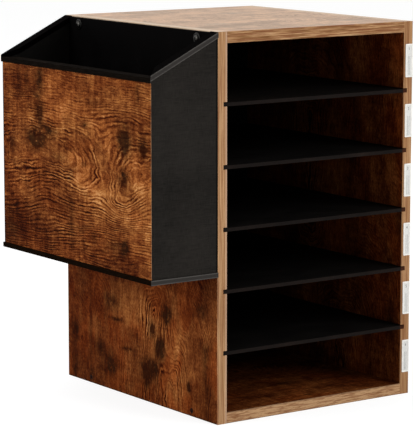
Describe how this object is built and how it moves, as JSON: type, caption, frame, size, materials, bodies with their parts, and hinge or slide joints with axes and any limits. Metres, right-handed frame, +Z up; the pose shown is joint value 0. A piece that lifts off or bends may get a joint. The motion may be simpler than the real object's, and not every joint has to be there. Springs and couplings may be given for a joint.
{
  "type": "mail sorter",
  "caption": "Open-fronted wooden desk sorter with pull-out shelves in side grooves, label holders on the front edge, and a slope-topped pocket screwed to its left side.",
  "frame": {"origin": "middle of the cabinet's underside, on the surface it stands on; the pocket isn't counted in finding the middle", "axes": "+Z up; -Y towards the open front, from which paper and shelves come out; +X to the right as seen from the front, so the pocket is on -X"},
  "size_m": [0.3454, 0.2988, 0.415],
  "materials": {
    "rustic_board": "satin printed rustic brown laminate on particle board",
    "oak_edge": "satin light oak edge band",
    "black_board": "matt black laminate with a fine linen grain",
    "black_edge": "satin black board with a dark grey edge",
    "black_hardboard": "satin black hardboard",
    "label_plastic": "white",
    "label_paper": "white card",
    "dark_screw": "blackened steel",
    "zinc_screw": "dull zinc",
    "beech": "raw beech"
  },
  "bodies": {
    "cabinet": {"left_side_panel": "rustic_board", "right_side_panel": "rustic_board", "bottom_panel": "rustic_board", "top_panel": "rustic_board", "back_panel": "black_hardboard", "left_front_band": "oak_edge", "right_front_band": "oak_edge", "bottom_front_band": "oak_edge", "top_front_band": "oak_edge", "left_top_band": "oak_edge", "right_top_band": "oak_edge", "label_holder_1": "label_plastic", "label_card_1": "label_paper", "label_holder_2": "label_plastic", "label_card_2": "label_paper", "label_holder_3": "label_plastic", "label_card_3": "label_paper", "label_holder_4": "label_plastic", "label_card_4": "label_paper", "label_holder_5": "label_plastic", "label_card_5": "label_paper", "label_holder_6": "label_plastic", "label_card_6": "label_paper", "cabinet_screws": "dark_screw", "wood_dowels": "beech", "hanger_screws": "zinc_screw", "hanger_washers": "zinc_screw", "pocket_floor_screws": "dark_screw", "pocket_front_panel": "rustic_board", "pocket_front_end": "black_board", "pocket_rear_end": "black_board", "pocket_back_panel": "black_hardboard", "pocket_floor": "black_edge", "pocket_rail": "black_edge", "pocket_front_cap": "black_edge", "pocket_rear_cap": "black_edge"},
    "shelf_1": {"shelf_1": "black_hardboard"},
    "shelf_2": {"shelf_2": "black_hardboard"},
    "shelf_3": {"shelf_3": "black_hardboard"},
    "shelf_4": {"shelf_4": "black_hardboard"},
    "shelf_5": {"shelf_5": "black_hardboard"}
  },
  "joints": [
    {"name": "shelf_1_slide", "type": "slide", "parent": "cabinet", "child": "shelf_1", "axis": [0, -1, 0], "range_m": [0, 0.3]},
    {"name": "shelf_2_slide", "type": "slide", "parent": "cabinet", "child": "shelf_2", "axis": [0, -1, 0], "range_m": [0, 0.3]},
    {"name": "shelf_3_slide", "type": "slide", "parent": "cabinet", "child": "shelf_3", "axis": [0, -1, 0], "range_m": [0, 0.3]},
    {"name": "shelf_4_slide", "type": "slide", "parent": "cabinet", "child": "shelf_4", "axis": [0, -1, 0], "range_m": [0, 0.3]},
    {"name": "shelf_5_slide", "type": "slide", "parent": "cabinet", "child": "shelf_5", "axis": [0, -1, 0], "range_m": [0, 0.3]}
  ]
}
